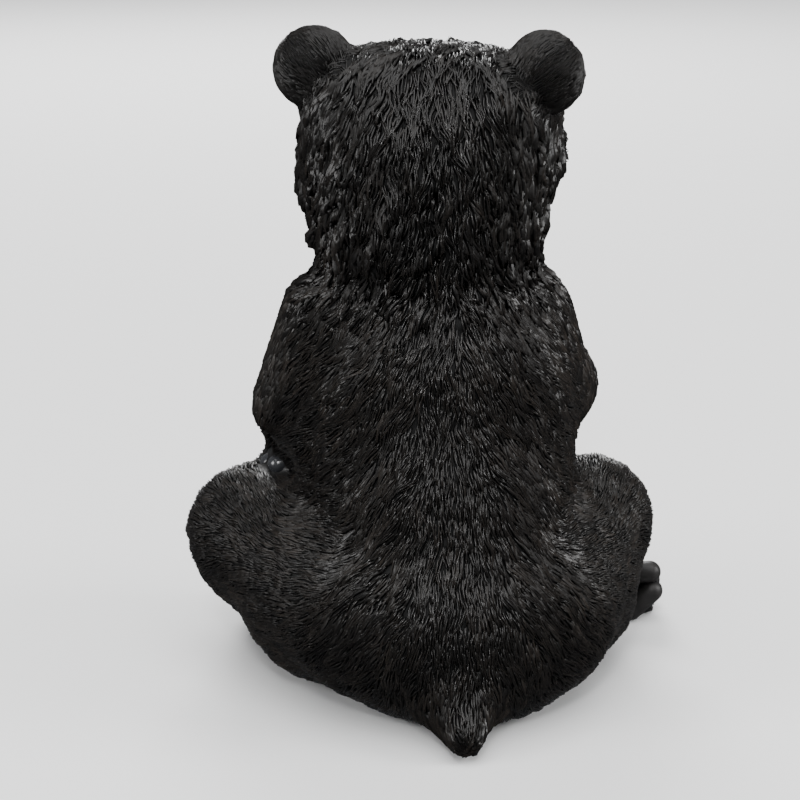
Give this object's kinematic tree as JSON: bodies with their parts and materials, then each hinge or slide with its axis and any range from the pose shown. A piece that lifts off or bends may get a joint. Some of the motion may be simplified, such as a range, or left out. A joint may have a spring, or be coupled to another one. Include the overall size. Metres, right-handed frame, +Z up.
{
  "type": "bear figurine",
  "caption": "Seated bear cub figurine, cast in one piece with a coat of carved fur, one paw on its knee, one on its chest and its head turned; it sits flat on its underside.",
  "frame": {"origin": "middle of the figure's box, on the surface that it sits on", "axes": "+Z up from the seat to the ears; the bear faces -Y, its left side is +X and its tail is at +Y"},
  "size_m": [0.2714, 0.235, 0.34],
  "materials": {
    "coat": "near-black cast resin with a satin sheen on its carved strands and a faint brown dry-brushing over them"
  },
  "bodies": {
    "root": {"bear": "coat"}
  },
  "joints": []
}
